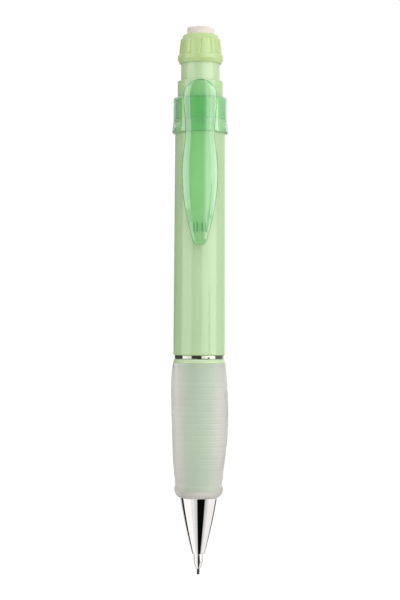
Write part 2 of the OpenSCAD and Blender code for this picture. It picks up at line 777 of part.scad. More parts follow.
lead();
nose_sleeve();
lead_retainer();
tip_cone();
grip_sleeve();
front_barrel();
trim_ring();
barrel();
clip_collar();
clip_arm();
clutch_sleeve();
clutch_ring();
chuck_stem();
chuck_jaw(0);  // chuck_jaw_1
chuck_jaw(120);  // chuck_jaw_2
chuck_jaw(240);  // chuck_jaw_3
chuck_coupling();
return_spring();
lead_tube();
spare_leads();
tube_plug();
push_tube();
spiral_sleeve();
twist_knob();
eraser_holder();
eraser();
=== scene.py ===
import json
import math

import bmesh
import bpy
from mathutils import Euler, Matrix, Vector


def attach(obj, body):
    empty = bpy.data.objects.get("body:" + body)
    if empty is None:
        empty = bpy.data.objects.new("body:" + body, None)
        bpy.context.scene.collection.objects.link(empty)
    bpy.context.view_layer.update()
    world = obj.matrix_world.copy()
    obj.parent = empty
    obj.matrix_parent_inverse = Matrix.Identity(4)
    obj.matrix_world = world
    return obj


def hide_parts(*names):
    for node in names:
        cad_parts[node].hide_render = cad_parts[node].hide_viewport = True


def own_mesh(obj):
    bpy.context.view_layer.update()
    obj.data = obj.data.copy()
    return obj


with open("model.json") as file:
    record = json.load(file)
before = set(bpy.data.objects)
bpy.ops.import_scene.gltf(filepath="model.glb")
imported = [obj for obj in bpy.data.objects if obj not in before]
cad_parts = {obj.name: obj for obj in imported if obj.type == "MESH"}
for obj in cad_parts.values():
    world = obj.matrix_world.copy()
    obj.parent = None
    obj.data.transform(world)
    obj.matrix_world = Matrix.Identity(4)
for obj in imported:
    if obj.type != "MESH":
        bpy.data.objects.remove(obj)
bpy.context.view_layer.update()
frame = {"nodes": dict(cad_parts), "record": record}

scene = bpy.context.scene
scene.view_settings.view_transform = "Standard"
scene.cycles.blur_glossy = 0
MM = 0.001

# Sizes of the solids in millimetres, as in the part's source
LEAD_R, LEAD_LEN = 0.35, 60.0
NOSE_Z, NOSE_TAPER_Z, CONE_Z, RETAINER_Z, CAVITY_Z = 1.55, 3.75, 5.25, 8.2, 9.4
NOSE_BORE, NOSE_TIP_R, NOSE_R, NOSE_ROOT_R, RETAINER_R, CAVITY_R = 0.39, 0.55, 1.15, 0.95, 1.5, 2.3
CONE_FRONT_R, CONE_BACK_R, CONE_BULGE = 1.55, 4.72, 0.2
CLUTCH_STOP_Z, CLUTCH_BORE, CLUTCH_SLEEVE_R, SPIGOT_Z, SPIGOT_R = 14.85, 2.65, 2.9, 15.9, 3.7
GRIP_Z, CORE_Z, LEDGE_Z, FLANGE_Z, RING_Z, BARREL_Z = 19.4, 21.4, 24.0, 53.9, 55.0, 56.0
GRIP_LEN, GRIP_MAX_R, GRIP_MAX_AT, GRIP_TOP_R = 34.5, 7.3, 22.3, 6.72
GRIP_NECK_R, GRIP_NECK_AT, LIP_R, LIP_ROUND = 5.93, 3.6, 6.22, 2.4
RING_LOW, RING_PITCH, RING_COUNT = 6.6, 1.5, 16
CORE_R, CORE_LOW_R, CORE_BORE = 4.2, 3.85, 3.3
FLANGE_R, FLANGE_TOP_R, FLANGE_FOOT, TRIM_R = 6.65, 6.4, 0.44, 6.3
JOINT_R, JOINT_TOP_Z = 5.23, 63.0
BARREL_LOW_R, BARREL_TOP_R, NECK_R, NECK_BORE = 6.66, 6.42, 5.84, 5.08
NECK_BORE_Z, SHOULDER_Z, NECK_TOP_Z = 113.2, 116.2, 126.2
COLLAR_Z, COLLAR_TOP_Z, COLLAR_R, FLARE_R, COLLAR_ROUND = 112.7, 121.85, 6.94, 7.14, 0.8
STEM_W, PAD_Y, STEM_Y = 3.3, 7.19, 7.24
ARM_LOW_Z, ARM_TOP_Z, ARM_BACK = 83.8, 125.7, 7.64
ARM_W, ARM_WAIST_W, ARM_LOBE_W, ARM_TIP_W = 9.2, 7.5, 8.5, 4.0
ARM_THICK, ARM_TIP_THICK, ARM_BOW, TIP_LIFT = 1.6, 1.2, 0.35, 0.4
LOBE_Z, WAIST_Z, WIDE_Z, RIB_Z = 121.7, 112.4, 102.6, 88.4
RIB_W, RIB_LEN, RIB_SPREAD, RIB_GAP, RIB_STAND = 0.85, 2.3, 1.0, 0.1, 0.65
PUSH_Z, PUSH_TOP_Z, PUSH_R, PUSH_BORE = 103.5, 132.95, 4.98, 4.3
BEAD_Z, BEAD_LEN, BEAD_H = 131.85, 0.5, 0.15
SLOT_LOW_Z, SLOT_TOP_Z, SLOT_W = 108.0, 124.9, 1.4
KNOB_Z, KNOB_RIB_Z, KNOB_CAP_Z, KNOB_TOP_Z = 130.65, 133.05, 136.85, 138.05
KNOB_BORE, KNOB_FLANGE_R, KNOB_LOW_R, KNOB_RIB_R, KNOB_CAP_R = 5.08, 5.84, 5.52, 5.12, 4.77
KNOB_RIBS, GROOVE_R = 12, 0.3
SLEEVE_BORE, SLEEVE_R, SLEEVE_TOP_Z = 3.55, 4.2, 136.35
ERASER_R, ERASER_FOOT_R, ERASER_FOOT_Z, ERASER_BODY_Z, ERASER_TOP_Z = 3.45, 2.8, 110.25, 114.5, 139.95
SPRING_Z, SPRING_LEN, SPRING_R, WIRE_R, SPRING_TURNS, KNOCK = 24.6, 9.9, 2.25, 0.2, 8, 4.0

# How finely the meshes are built, and the air between neighbouring pieces in millimetres
SIDES, SMALL_SIDES, LEAD_SIDES = 160, 96, 48
ROUND_STEPS, FINE_STEPS, MAX_REACH = 5, 8, 0.48
SHARP_DEG, WIRE_SHARP_DEG, TINY = 38.0, 60, 1e-6
AIR = 0.03


def smooth(mesh, sharp):
    """Smooth shading, apart from edges sharper than an angle in degrees."""
    mesh.shade_smooth()
    mesh.set_sharp_from_angle(angle=math.radians(sharp))


def made(name, bm, sharp=SHARP_DEG):
    """New smooth object from a bmesh."""
    bmesh.ops.recalc_face_normals(bm, faces=bm.faces)
    mesh = bpy.data.meshes.new(name)
    bm.to_mesh(mesh)
    bm.free()
    smooth(mesh, sharp)
    obj = bpy.data.objects.new(name, mesh)
    scene.collection.objects.link(obj)
    return obj


def rounded(corners, steps=ROUND_STEPS):
    """Closed outline through corners (r, z) or (r, z, rounding)."""
    points = []
    for i, corner in enumerate(corners):
        here = Vector(corner[:2])
        before = Vector(corners[i - 1][:2]) - here
        after = Vector(corners[(i + 1) % len(corners)][:2]) - here
        if len(corner) == 2:
            points.append(tuple(here))
            continue
        half = before.angle(after) / 2
        reach = min(corner[2] / math.tan(half), MAX_REACH * before.length, MAX_REACH * after.length)
        start, end = here + before.normalized() * reach, here + after.normalized() * reach
        inward = (before.normalized() + after.normalized()).normalized()
        middle = here + inward * (reach / math.cos(half))
        for k in range(steps + 1):
            spoke = (start - middle).lerp(end - middle, k / steps).normalized()
            points.append(tuple(middle + spoke * (start - middle).length))
    return points


def lathe(name, outline, turns=SIDES, shape=None):
    """Solid of revolution of a closed outline (r, z) in millimetres; shape moves single points."""
    bm = bmesh.new()
    rows = []
    for r, z in outline:
        if r < TINY:
            rows.append([bm.verts.new((0, 0, z * MM))])
            continue
        row = []
        for i in range(turns):
            a = 2 * math.pi * i / turns
            p = shape(r, z, a) if shape else (r * math.cos(a), r * math.sin(a), z)
            row.append(bm.verts.new(Vector(p) * MM))
        rows.append(row)
    for low, top in zip(rows, rows[1:] + rows[:1]):
        if len(low) == len(top) == 1:
            continue
        for i in range(turns):
            n = (i + 1) % turns
            corners = (low[i % len(low)], low[n % len(low)], top[n % len(top)], top[i % len(top)])
            bm.faces.new(tuple(dict.fromkeys(corners)))
    return made(name, bm)


def lofted(name, rings, sharp=SHARP_DEG):
    """Closed solid through rings of points in millimetres, with flat ends."""
    bm = bmesh.new()
    rows = [[bm.verts.new(Vector(p) * MM) for p in ring] for ring in rings]
    for low, top in zip(rows, rows[1:]):
        for i in range(len(low)):
            n = (i + 1) % len(low)
            bm.faces.new((low[i], low[n], top[n], top[i]))
    bm.faces.new(rows[0])
    bm.faces.new(rows[-1])
    return made(name, bm, sharp)


def block(lo, hi):
    """Box between two corners in millimetres, as a helper for cut()."""
    bm = bmesh.new()
    size = Vector(hi) - Vector(lo)
    place = Matrix.Translation((Vector(lo) + size / 2) * MM) @ Matrix.Diagonal((*(size * MM), 1))
    bmesh.ops.create_cube(bm, size=1, matrix=place)
    return made("helper", bm)


def cut(obj, operation, helpers):
    """Applies the helpers to the object by a boolean and removes them."""
    for helper in helpers:
        step = obj.modifiers.new("cut", "BOOLEAN")
        step.operation, step.solver, step.object = operation, "EXACT", helper
    view = bpy.context.evaluated_depsgraph_get()
    mesh = bpy.data.meshes.new_from_object(obj.evaluated_get(view), depsgraph=view)
    obj.modifiers.clear()
    old, obj.data = obj.data, mesh
    bpy.data.meshes.remove(old)
    mesh.name = obj.name
    smooth(mesh, SHARP_DEG)
    for helper in helpers:
        bpy.data.meshes.remove(helper.data)


def add_node(tree, kind, out=0, settings=None, **inputs):
    """One output of a new shader node; an input is given by its name, or as i and its number."""
    n = tree.nodes.new("ShaderNode" + kind)
    for key, value in (settings or {}).items():
        setattr(n, key, value)
    for key, value in inputs.items():
        numbered = key[0] == "i" and key[1:].isdigit()
        socket = n.inputs[int(key[1:]) if numbered else key.replace("_", " ")]
        if isinstance(value, bpy.types.NodeSocket):
            tree.links.new(value, socket)
        else:
            socket.default_value = value
    return n.outputs[out]


# Materials
NOISE_LOW, NOISE_HIGH = 0.3, 0.7
SMUDGE_LEN, SMUDGE_LOW, SMUDGE_HIGH, SMUDGE_MOST = 1.6, 0.45, 0.75, 0.7


class Paint:
    """A node material around one Principled shader, in the piece's own coordinates."""

    def __init__(self, name, **constants):
        self.mat = bpy.data.materials.new(name)
        self.mat.use_nodes = True
        self.tree = self.mat.node_tree
        self.shader = self.tree.nodes["Principled BSDF"]
        self.place = self.tree.nodes.new("ShaderNodeTexCoord").outputs["Object"]
        for socket, value in constants.items():
            self.shader.inputs[socket.replace("_", " ")].default_value = value

    def node(self, kind, out=0, settings=None, **inputs):
        return add_node(self.tree, kind, out, settings, **inputs)

    def stretched(self, *scale):
        return self.node("Mapping", Vector=self.place, Scale=scale)

    def noise(self, scale, detail, place=None):
        return self.node("TexNoise", Vector=place or self.place, Scale=scale, Detail=detail)

    def levels(self, value, low, high, start=NOISE_LOW, end=NOISE_HIGH):
        return self.node("MapRange", Value=value, From_Min=start, From_Max=end, To_Min=low, To_Max=high)

    def link(self, socket, value):
        self.tree.links.new(value, self.shader.inputs[socket])

    def colour(self, share, a, b):
        blend = self.node("Mix", 2, {"data_type": "RGBA"}, i0=share, i6=(*a, 1), i7=(*b, 1))
        self.link("Base Color", blend)

    def clouds(self, value, a, b):
        self.colour(self.levels(value, 0, 1), a, b)

    def rough(self, value, low, high):
        self.link("Roughness", self.levels(value, low, high))

    def bump(self, height, depth):
        self.link("Normal", self.node("Bump", Height=height, Distance=depth, Strength=1.0))


def plastic(name, dark, pale, low=0.10, high=0.17):
    """Moulded plastic: faint clouds in the colour and a very slight orange peel."""
    p = Paint(name, IOR=1.5)
    p.clouds(p.noise(scale=140, detail=4), dark, pale)
    p.rough(p.noise(scale=900, detail=4), low, high)
    p.bump(p.noise(scale=650, detail=2), depth=1.2e-6)
    return p.mat


def metal(name, dark, pale, low, high, lines=0.0):
    """Metal with small marks in its polish and, where given, fine turning lines around the axis."""
    p = Paint(name, Metallic=1.0)
    p.clouds(p.noise(scale=300, detail=4), dark, pale)
    p.rough(p.noise(scale=1600, detail=5, place=p.stretched(1, 1, 0.15)), low, high)
    if lines:
        p.bump(p.noise(scale=1, detail=2, place=p.stretched(200, 200, 40000)), depth=lines)
    return p.mat


def clear(name, dark, pale, depth_tint, density):
    """Clear plastic, tinted through its depth, with slight flow marks."""
    p = Paint(name, IOR=1.58, Transmission_Weight=1.0, Coat_Weight=0.7, Coat_Roughness=0.03)
    p.clouds(p.noise(scale=90, detail=3), dark, pale)
    p.rough(p.noise(scale=700, detail=4), low=0.01, high=0.05)
    p.bump(p.noise(scale=420, detail=2, place=p.stretched(1, 1, 0.25)), depth=1.5e-6)
    inside = p.node("VolumeAbsorption", Color=(*depth_tint, 1), Density=density)
    p.tree.links.new(inside, p.tree.nodes["Material Output"].inputs["Volume"])
    return p.mat


def frosted(name, dark, pale):
    """Soft frosted sleeve: see-through, but rough all over."""
    p = Paint(name, IOR=1.41, Transmission_Weight=0.78, Sheen_Weight=0.05)
    p.clouds(p.noise(scale=160, detail=4), dark, pale)
    p.rough(p.noise(scale=2600, detail=4), low=0.42, high=0.56)
    p.bump(p.noise(scale=5200, detail=3), depth=6e-6)
    return p.mat


def vinyl(name, clean, worn):
    """Eraser vinyl: matt, with grey smudges where it has rubbed."""
    p = Paint(name, Subsurface_Weight=0.1, Subsurface_Scale=0.001)
    height = p.node("SeparateXYZ", 2, Vector=p.place)
    near_top = p.levels(height, 0, 1, (ERASER_TOP_Z - SMUDGE_LEN) * MM, ERASER_TOP_Z * MM)
    smudge = p.levels(p.noise(scale=420, detail=5), 0, SMUDGE_MOST, SMUDGE_LOW, SMUDGE_HIGH)
    p.colour(p.node("Math", 0, {"operation": "MULTIPLY"}, i0=near_top, i1=smudge), clean, worn)
    p.rough(p.noise(scale=1200, detail=4), low=0.62, high=0.85)
    p.bump(p.noise(scale=1900, detail=5), depth=1.2e-5)
    return p.mat


def graphite(name, dark, pale):
    """Lead: dark grey with drawn streaks along it and a dull shine."""
    p = Paint(name, Metallic=0.35)
    streak = p.noise(scale=9000, detail=3, place=p.stretched(1, 1, 0.05))
    p.clouds(streak, dark, pale)
    p.rough(p.noise(scale=5000, detail=4), low=0.38, high=0.6)
    p.bump(streak, depth=4e-6)
    return p.mat


def matt_rubber(name, dark, pale):
    """Plain rubber with a fine grain."""
    p = Paint(name)
    p.clouds(p.noise(scale=1500, detail=4), dark, pale)
    p.rough(p.noise(scale=2600, detail=4), low=0.6, high=0.85)
    p.bump(p.noise(scale=4000, detail=4), depth=1e-5)
    return p.mat


MINT = plastic("mint_plastic", (0.482, 0.668, 0.376), (0.502, 0.683, 0.393))
# Painted light: a paler copy of the mint plastic, brightening the push tube where the knob shades it, and
# the front barrel's flange and joint
MINT_PAINTED_LIGHT = plastic("mint_plastic_painted_light", (0.545, 0.712, 0.425), (0.565, 0.727, 0.442))
CORE_MINT = plastic("core_mint_plastic", (0.54, 0.88, 0.57), (0.56, 0.895, 0.59))
KNOB = plastic("knob_plastic", (0.500, 0.660, 0.288), (0.525, 0.680, 0.308), low=0.13, high=0.2)
GREEN = clear(
    "clear_green", (0.95, 0.98, 0.95), (0.98, 1.0, 0.98), depth_tint=(0.06, 0.81, 0.20), density=258,
)
# Painted shade: an opaque dark green put on the clear clip's edges and rib sides, standing in for the dark
# outlines there
EDGE_SHADE = plastic("clear_green_painted_edge_shade", (0.20, 0.46, 0.19), (0.24, 0.50, 0.23), low=0.2, high=0.35)
GRIP = frosted("soft_grip", (0.815, 0.80, 0.765), (0.855, 0.835, 0.80))
CHROME = metal("bright_chrome", (0.875, 0.855, 0.84), (0.915, 0.895, 0.88), low=0.03, high=0.07)
# Painted shade and reflection: a darker, olive copy of the chrome for the trim ring, dimming its highlights
# and tinting them green
TRIM_PAINTED_SHADE = metal("trim_chrome_painted_shade", (0.325, 0.34, 0.275), (0.335, 0.35, 0.285), low=0.04, high=0.09)
BRASS = metal("clutch_brass", (0.60, 0.42, 0.15), (0.66, 0.48, 0.19), low=0.18, high=0.3, lines=3e-6)
STEEL = metal("spring_steel", (0.50, 0.51, 0.53), (0.57, 0.58, 0.60), low=0.18, high=0.32)
WHITE = plastic("white_plastic", (0.77, 0.79, 0.77), (0.80, 0.82, 0.80), low=0.3, high=0.42)
VINYL = vinyl("eraser_vinyl", (0.82, 0.735, 0.69), (0.50, 0.47, 0.46))
LEAD = graphite("lead_graphite", (0.028, 0.028, 0.031), (0.085, 0.085, 0.092))
RUBBER = matt_rubber("black_rubber", (0.018, 0.018, 0.018), (0.04, 0.04, 0.04))

PAINTS = {
    "mint_plastic": MINT, "knob_plastic": KNOB, "clear_green": GREEN, "soft_grip": GRIP,
    "bright_chrome": CHROME, "clutch_brass": BRASS, "spring_steel": STEEL, "white_plastic": WHITE,
    "eraser_vinyl": VINYL, "lead_graphite": LEAD, "black_rubber": RUBBER,
}


def piece(obj, body, slot, node):
    """Paints a piece, sets it on its body and lets it stand for its CAD node."""
    obj.data.materials.clear()
    obj.data.materials.append(PAINTS[slot])
    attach(obj, body)
    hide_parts(node)


# Lead with a point worn to a slant
WORN, LEAD_POINT_ROUND, LEAD_END_ROUND = 0.16, 0.06, 0.04


def worn_lead(r, z, a):
    x, y = r * math.cos(a), r * math.sin(a)
    return x, y, max(z, WORN * (0.5 + 0.5 * x / LEAD_R))


lead = lathe("lead_stick", rounded([
    (0, 0), (LEAD_R / 2, 0), (LEAD_R, 0, LEAD_POINT_ROUND),
    (LEAD_R, LEAD_LEN, LEAD_END_ROUND), (0, LEAD_LEN),
]), LEAD_SIDES, worn_lead)
piece(lead, "lead_stick", "lead_graphite", "lead")

# Nose and tip cone
NOSE_BORE_ROUND, NOSE_ROUND, CONE_ROUND = 0.03, 0.05, 0.1
TAPER_STEPS, CONE_STEPS = 24, 40
taper = [
    (NOSE_TIP_R + (NOSE_R - NOSE_TIP_R) * math.sin(math.pi / 2 * i / TAPER_STEPS),
     NOSE_Z + (NOSE_TAPER_Z - NOSE_Z) * i / TAPER_STEPS)
    for i in range(1, TAPER_STEPS + 1)
]
nose = lathe("nose", rounded(
    [(NOSE_BORE, RETAINER_Z), (NOSE_BORE, NOSE_Z, NOSE_BORE_ROUND), (NOSE_TIP_R, NOSE_Z, NOSE_ROUND)]
    + taper + [(NOSE_R, CONE_Z), (NOSE_ROOT_R, CONE_Z), (NOSE_ROOT_R, RETAINER_Z)]
), SMALL_SIDES)
piece(nose, "barrel_unit", "bright_chrome", "nose_sleeve")


def cone_r(z):
    t = (z - CONE_Z) / (GRIP_Z - CONE_Z)
    return CONE_FRONT_R + (CONE_BACK_R - CONE_FRONT_R) * t + 4 * CONE_BULGE * t * (1 - t)


cone_heights = [CONE_Z + (GRIP_Z - CONE_Z) * i / CONE_STEPS for i in range(1, CONE_STEPS + 1)]
cone = lathe("tip_cone_shell", rounded(
    [(NOSE_ROOT_R + AIR, RETAINER_Z), (NOSE_ROOT_R + AIR, CONE_Z), (CONE_FRONT_R, CONE_Z, CONE_ROUND)]
    + [(cone_r(z), z) for z in cone_heights] + [
        (CONE_BACK_R, CORE_Z), (SPIGOT_R, CORE_Z), (SPIGOT_R, SPIGOT_Z), (CLUTCH_BORE, SPIGOT_Z),
        (CLUTCH_BORE, CLUTCH_STOP_Z), (CAVITY_R, CLUTCH_STOP_Z), (CAVITY_R, CAVITY_Z),
        (RETAINER_R, CAVITY_Z), (RETAINER_R, RETAINER_Z),
    ]
))
piece(cone, "barrel_unit", "bright_chrome", "tip_cone")

# Grip sleeve with shallow ring grooves; the soft sleeve bulges a little more to one side
GRIP_TOP_POWER, GRIP_LOW_POWER, GROOVE_HALF, GROOVE_DEPTH = 2.6, 1.9, 0.2, 0.045
BULGE, BULGE_Z, BULGE_HALF, BULGE_MIN_R = 0.3, 38.5, 13.5, CORE_R + 1
LIP_END_DEG, LIP_STEPS, PLAIN_STEPS, GROOVE_STEPS = 22, 24, 8, 15
GRIP_EDGE_WIDER, GRIP_EDGE_LEN, GRIP_EDGE_ROUND = 0.02, 0.5, 0.18


def grip_side(h):
    if h > GRIP_MAX_AT:
        t = (h - GRIP_MAX_AT) / (GRIP_LEN - GRIP_MAX_AT)
        return GRIP_MAX_R - (GRIP_MAX_R - GRIP_TOP_R) * t ** GRIP_TOP_POWER
    t = (GRIP_MAX_AT - h) / (GRIP_MAX_AT - GRIP_NECK_AT)
    return GRIP_MAX_R - (GRIP_MAX_R - GRIP_NECK_R) * t ** GRIP_LOW_POWER


def grip_groove(h):
    turn = (h - RING_LOW) / RING_PITCH
    if not 0 <= turn <= RING_COUNT:
        return 0.0
    u = abs(turn % 1 - 0.5) / GROOVE_HALF
    return GROOVE_DEPTH * (1 - u * u) ** 2 if u < 1 else 0.0


def grip_shape(r, z, a):
    x, y = r * math.cos(a), r * math.sin(a)
    u = min(1.0, abs(z - BULGE_Z) / BULGE_HALF)
    lean = BULGE * math.cos(math.pi / 2 * u) ** 2 if r > BULGE_MIN_R else 0.0
    return x + lean, y, z


lip_r, lip_z = LIP_R - LIP_ROUND, GRIP_Z + LIP_ROUND
seat = CONE_BACK_R + AIR
lip_start, lip_end = -math.acos((seat - lip_r) / LIP_ROUND), math.radians(LIP_END_DEG)
grip_outline = []
for i in range(LIP_STEPS + 1):
    a = lip_start + (lip_end - lip_start) * i / LIP_STEPS
    grip_outline.append((lip_r + LIP_ROUND * math.cos(a), lip_z + LIP_ROUND * math.sin(a)))
ring_top = RING_LOW + RING_PITCH * RING_COUNT
heights = [GRIP_NECK_AT + (RING_LOW - GRIP_NECK_AT) * i / PLAIN_STEPS for i in range(PLAIN_STEPS)]
heights += [RING_LOW + RING_PITCH * i / GROOVE_STEPS for i in range(RING_COUNT * GROOVE_STEPS + 1)]
heights += [ring_top + (GRIP_LEN - ring_top) * i / PLAIN_STEPS for i in range(1, PLAIN_STEPS)]
grip_outline += [(grip_side(h) - grip_groove(h), GRIP_Z + h) for h in heights]
top_edge = FLANGE_Z - AIR
grip_outline += rounded([
    (GRIP_TOP_R + GRIP_EDGE_WIDER, top_edge - GRIP_EDGE_LEN), (GRIP_TOP_R, top_edge, GRIP_EDGE_ROUND),
    (CORE_R + AIR, top_edge),
])[1:]
grip_outline += [(CORE_LOW_R + AIR, CORE_Z + AIR), (seat, CORE_Z + AIR)]
grip = lathe("grip", grip_outline, SIDES, grip_shape)
piece(grip, "barrel_unit", "soft_grip", "grip_sleeve")

# Front barrel: core under the grip, flange and joint
CORE_ROUND, FLANGE_ROUND, FLANGE_SIDE_ROUND, FLANGE_TOP_ROUND, JOINT_ROUND = 0.12, 0.15, 0.5, 0.1, 0.2
core = lathe("front_core", rounded([
    (CLUTCH_SLEEVE_R, SPIGOT_Z), (SPIGOT_R - AIR, SPIGOT_Z), (SPIGOT_R - AIR, CORE_Z + AIR),
    (CORE_LOW_R, CORE_Z + AIR, CORE_ROUND), (CORE_R, FLANGE_Z), (FLANGE_R, FLANGE_Z, FLANGE_ROUND),
    (FLANGE_R, FLANGE_Z + FLANGE_FOOT, FLANGE_SIDE_ROUND), (FLANGE_TOP_R, RING_Z, FLANGE_TOP_ROUND),
    (JOINT_R - AIR, RING_Z), (JOINT_R - AIR, JOINT_TOP_Z, JOINT_ROUND),
    (CORE_BORE, JOINT_TOP_Z), (CORE_BORE, LEDGE_Z), (CLUTCH_SLEEVE_R, LEDGE_Z),
]))
piece(core, "barrel_unit", "mint_plastic", "front_barrel")
# Painted light: the flange and joint get the paler copy of the mint plastic
core.data.materials[0] = MINT_PAINTED_LIGHT
core.data.materials.append(CORE_MINT)
for face in core.data.polygons:
    if face.center.z < FLANGE_Z * MM + TINY:
        face.material_index = 1

# Trim ring, in a darker olive copy of the chrome: painted shade and a painted green reflection
TRIM_ROUND = 0.12
trim = lathe("trim_ring_band", rounded([
    (JOINT_R, RING_Z), (TRIM_R, RING_Z, TRIM_ROUND), (TRIM_R, BARREL_Z, TRIM_ROUND), (JOINT_R, BARREL_Z),
]))
piece(trim, "barrel_unit", "bright_chrome", "trim_ring")
trim.data.materials[0] = TRIM_PAINTED_SHADE

# Barrel with its neck
BARREL_BORE_ROUND, BARREL_ROUND, SHOULDER_ROUND, NECK_ROUND, NECK_BORE_ROUND = 0.1, 0.3, 0.12, 0.6, 0.12
barrel = lathe("barrel_shell", rounded([
    (JOINT_R, BARREL_Z, BARREL_BORE_ROUND), (BARREL_LOW_R, BARREL_Z, BARREL_ROUND),
    (BARREL_TOP_R, SHOULDER_Z, SHOULDER_ROUND), (NECK_R, SHOULDER_Z), (NECK_R, NECK_TOP_Z, NECK_ROUND),
    (NECK_BORE, NECK_TOP_Z, NECK_BORE_ROUND), (NECK_BORE, NECK_BORE_Z), (JOINT_R, NECK_BORE_Z),
], FINE_STEPS))
piece(barrel, "barrel_unit", "mint_plastic", "barrel")

# Clip collar with the pad for the stem, and painted shade in dark satin green at its foot and around its
# top
LIP_LEN, COLLAR_DRAFT, OVERLAP = 2.6, 0.05, 0.4
COLLAR_BORE_ROUND, FLARE_ROUND, FLARE_BLEND = 0.1, 0.4, 1.0
SHADE_FOOT_FACING, SHADE_FOOT_H, SHADE_BROW_FACING, SHADE_BROW_W = -0.5, 0.4, 0.7, 0.6


def barrel_r(z):
    return BARREL_LOW_R + (BARREL_TOP_R - BARREL_LOW_R) * (z - BARREL_Z) / (SHOULDER_Z - BARREL_Z)


skirt_r = barrel_r(COLLAR_Z) + AIR
collar = lathe("collar", rounded([
    (skirt_r, COLLAR_Z, COLLAR_BORE_ROUND), (FLARE_R, COLLAR_Z, FLARE_ROUND),
    (FLARE_R, COLLAR_Z + LIP_LEN / 2, FLARE_BLEND), (COLLAR_R, COLLAR_Z + LIP_LEN, FLARE_BLEND),
    (COLLAR_R - COLLAR_DRAFT, COLLAR_TOP_Z, COLLAR_ROUND), (NECK_R + AIR, COLLAR_TOP_Z, COLLAR_BORE_ROUND),
    (NECK_R + AIR, SHOULDER_Z + AIR), (skirt_r, SHOULDER_Z + AIR),
], FINE_STEPS))
pad = block(
    (-STEM_W / 2, -PAD_Y, COLLAR_Z + LIP_LEN),
    (STEM_W / 2, -COLLAR_R + OVERLAP, COLLAR_TOP_Z - COLLAR_ROUND),
)
cut(collar, "UNION", [pad])
piece(collar, "barrel_unit", "clear_green", "clip_collar")
collar.data.materials.append(EDGE_SHADE)
# Painted shade: dark green on the downward faces at the collar's foot and the upward faces at the outer
# edge of its top
for face in collar.data.polygons:
    foot = face.normal.z < SHADE_FOOT_FACING and face.center.z < (COLLAR_Z + SHADE_FOOT_H) * MM
    brow = face.normal.z > SHADE_BROW_FACING and face.center.xy.length > (COLLAR_R - SHADE_BROW_W) * MM
    if foot or brow:
        face.material_index = 1

# Clip arm with its stem and contact ribs, and painted shade in dark satin green along its edges and on the
# ribs' sides
TIP_R = ARM_TIP_W / 2
TIP_Z = ARM_LOW_Z + TIP_R
ARM_RIB_BACK = barrel_r(RIB_Z) + RIB_STAND
ARM_STATIONS, ARM_ACROSS, ARM_END = 150, 44, 0.012
EASE_STEP, EASE_COUNT = 0.6, 4
FRONT_ROUND, BACK_ROUND, BEVEL_AT, BEVEL_START, BEVEL_END = 13.0, 12.0, 0.6, 0.2, 0.5
END_BEVEL, EDGE_ROUND, SHADE_EDGE_W = 1.6, 0.2, 0.16
RIB_DRAFT, RIB_FACING = 0.13, 0.7


def ease(a, b, t):
    """From a to b with a soft start and end."""
    return a + (b - a) * (0.5 - 0.5 * math.cos(math.pi * t))


def arm_half(z):
    """Half the arm's width at a height."""
    if z > LOBE_Z:
        return ARM_LOBE_W / 2 * math.sqrt(max(0, 1 - ((z - LOBE_Z) / (ARM_TOP_Z - LOBE_Z)) ** 2))
    if z > WAIST_Z:
        return ease(ARM_WAIST_W, ARM_LOBE_W, (z - WAIST_Z) / (LOBE_Z - WAIST_Z)) / 2
    if z > WIDE_Z:
        return ease(ARM_W, ARM_WAIST_W, (z - WIDE_Z) / (WAIST_Z - WIDE_Z)) / 2
    if z > TIP_Z:
        return TIP_R + (ARM_W - ARM_TIP_W) / 2 * (1 - ((WIDE_Z - z) / (WIDE_Z - TIP_Z)) ** 2)
    return TIP_R * math.sqrt(max(0, 1 - ((TIP_Z - z) / TIP_R) ** 2))


def arm_curve(z):
    """Distance of the arm's back from the axis, in three plain curves."""
    if z > COLLAR_Z:
        return ARM_BACK
    if z > RIB_Z:
        t = (COLLAR_Z - z) / (COLLAR_Z - RIB_Z)
        return ARM_BACK + (ARM_RIB_BACK - ARM_BACK) * t * t + ARM_BOW * math.sin(math.pi * t)
    return ARM_RIB_BACK + TIP_LIFT * ((RIB_Z - z) / (RIB_Z - ARM_LOW_Z)) ** 2


def arm_behind(z):
    """The same distance, eased over a few millimetres."""
    near = [arm_curve(z + EASE_STEP * k) for k in range(-EASE_COUNT, EASE_COUNT + 1)]
    return sum(near) / len(near)


def arm_depth(z):
    share = min(1, (z - ARM_LOW_Z) / (COLLAR_Z - ARM_LOW_Z))
    return ARM_TIP_THICK + (ARM_THICK - ARM_TIP_THICK) * share


def bevel(t):
    """Fall of the front's bevel at a share of its width, as a share of that width."""
    return BEVEL_START * t + (BEVEL_END - BEVEL_START) / 2 * t * t


def quarter(inside, size):
    """How far a rounded edge falls away at a distance inside it."""
    e = max(0.0, 1 - inside / size)
    return size * (1 - math.sqrt(max(0.0, 1 - e * e)))


def arm_fall(u, w):
    """How far the front falls away from its middle at a share u of the half width, bevel included."""
    t = max(0.0, (abs(u) - BEVEL_AT) / (1 - BEVEL_AT))
    return (u * w) ** 2 / (2 * FRONT_ROUND) + (1 - BEVEL_AT) * w * bevel(t)


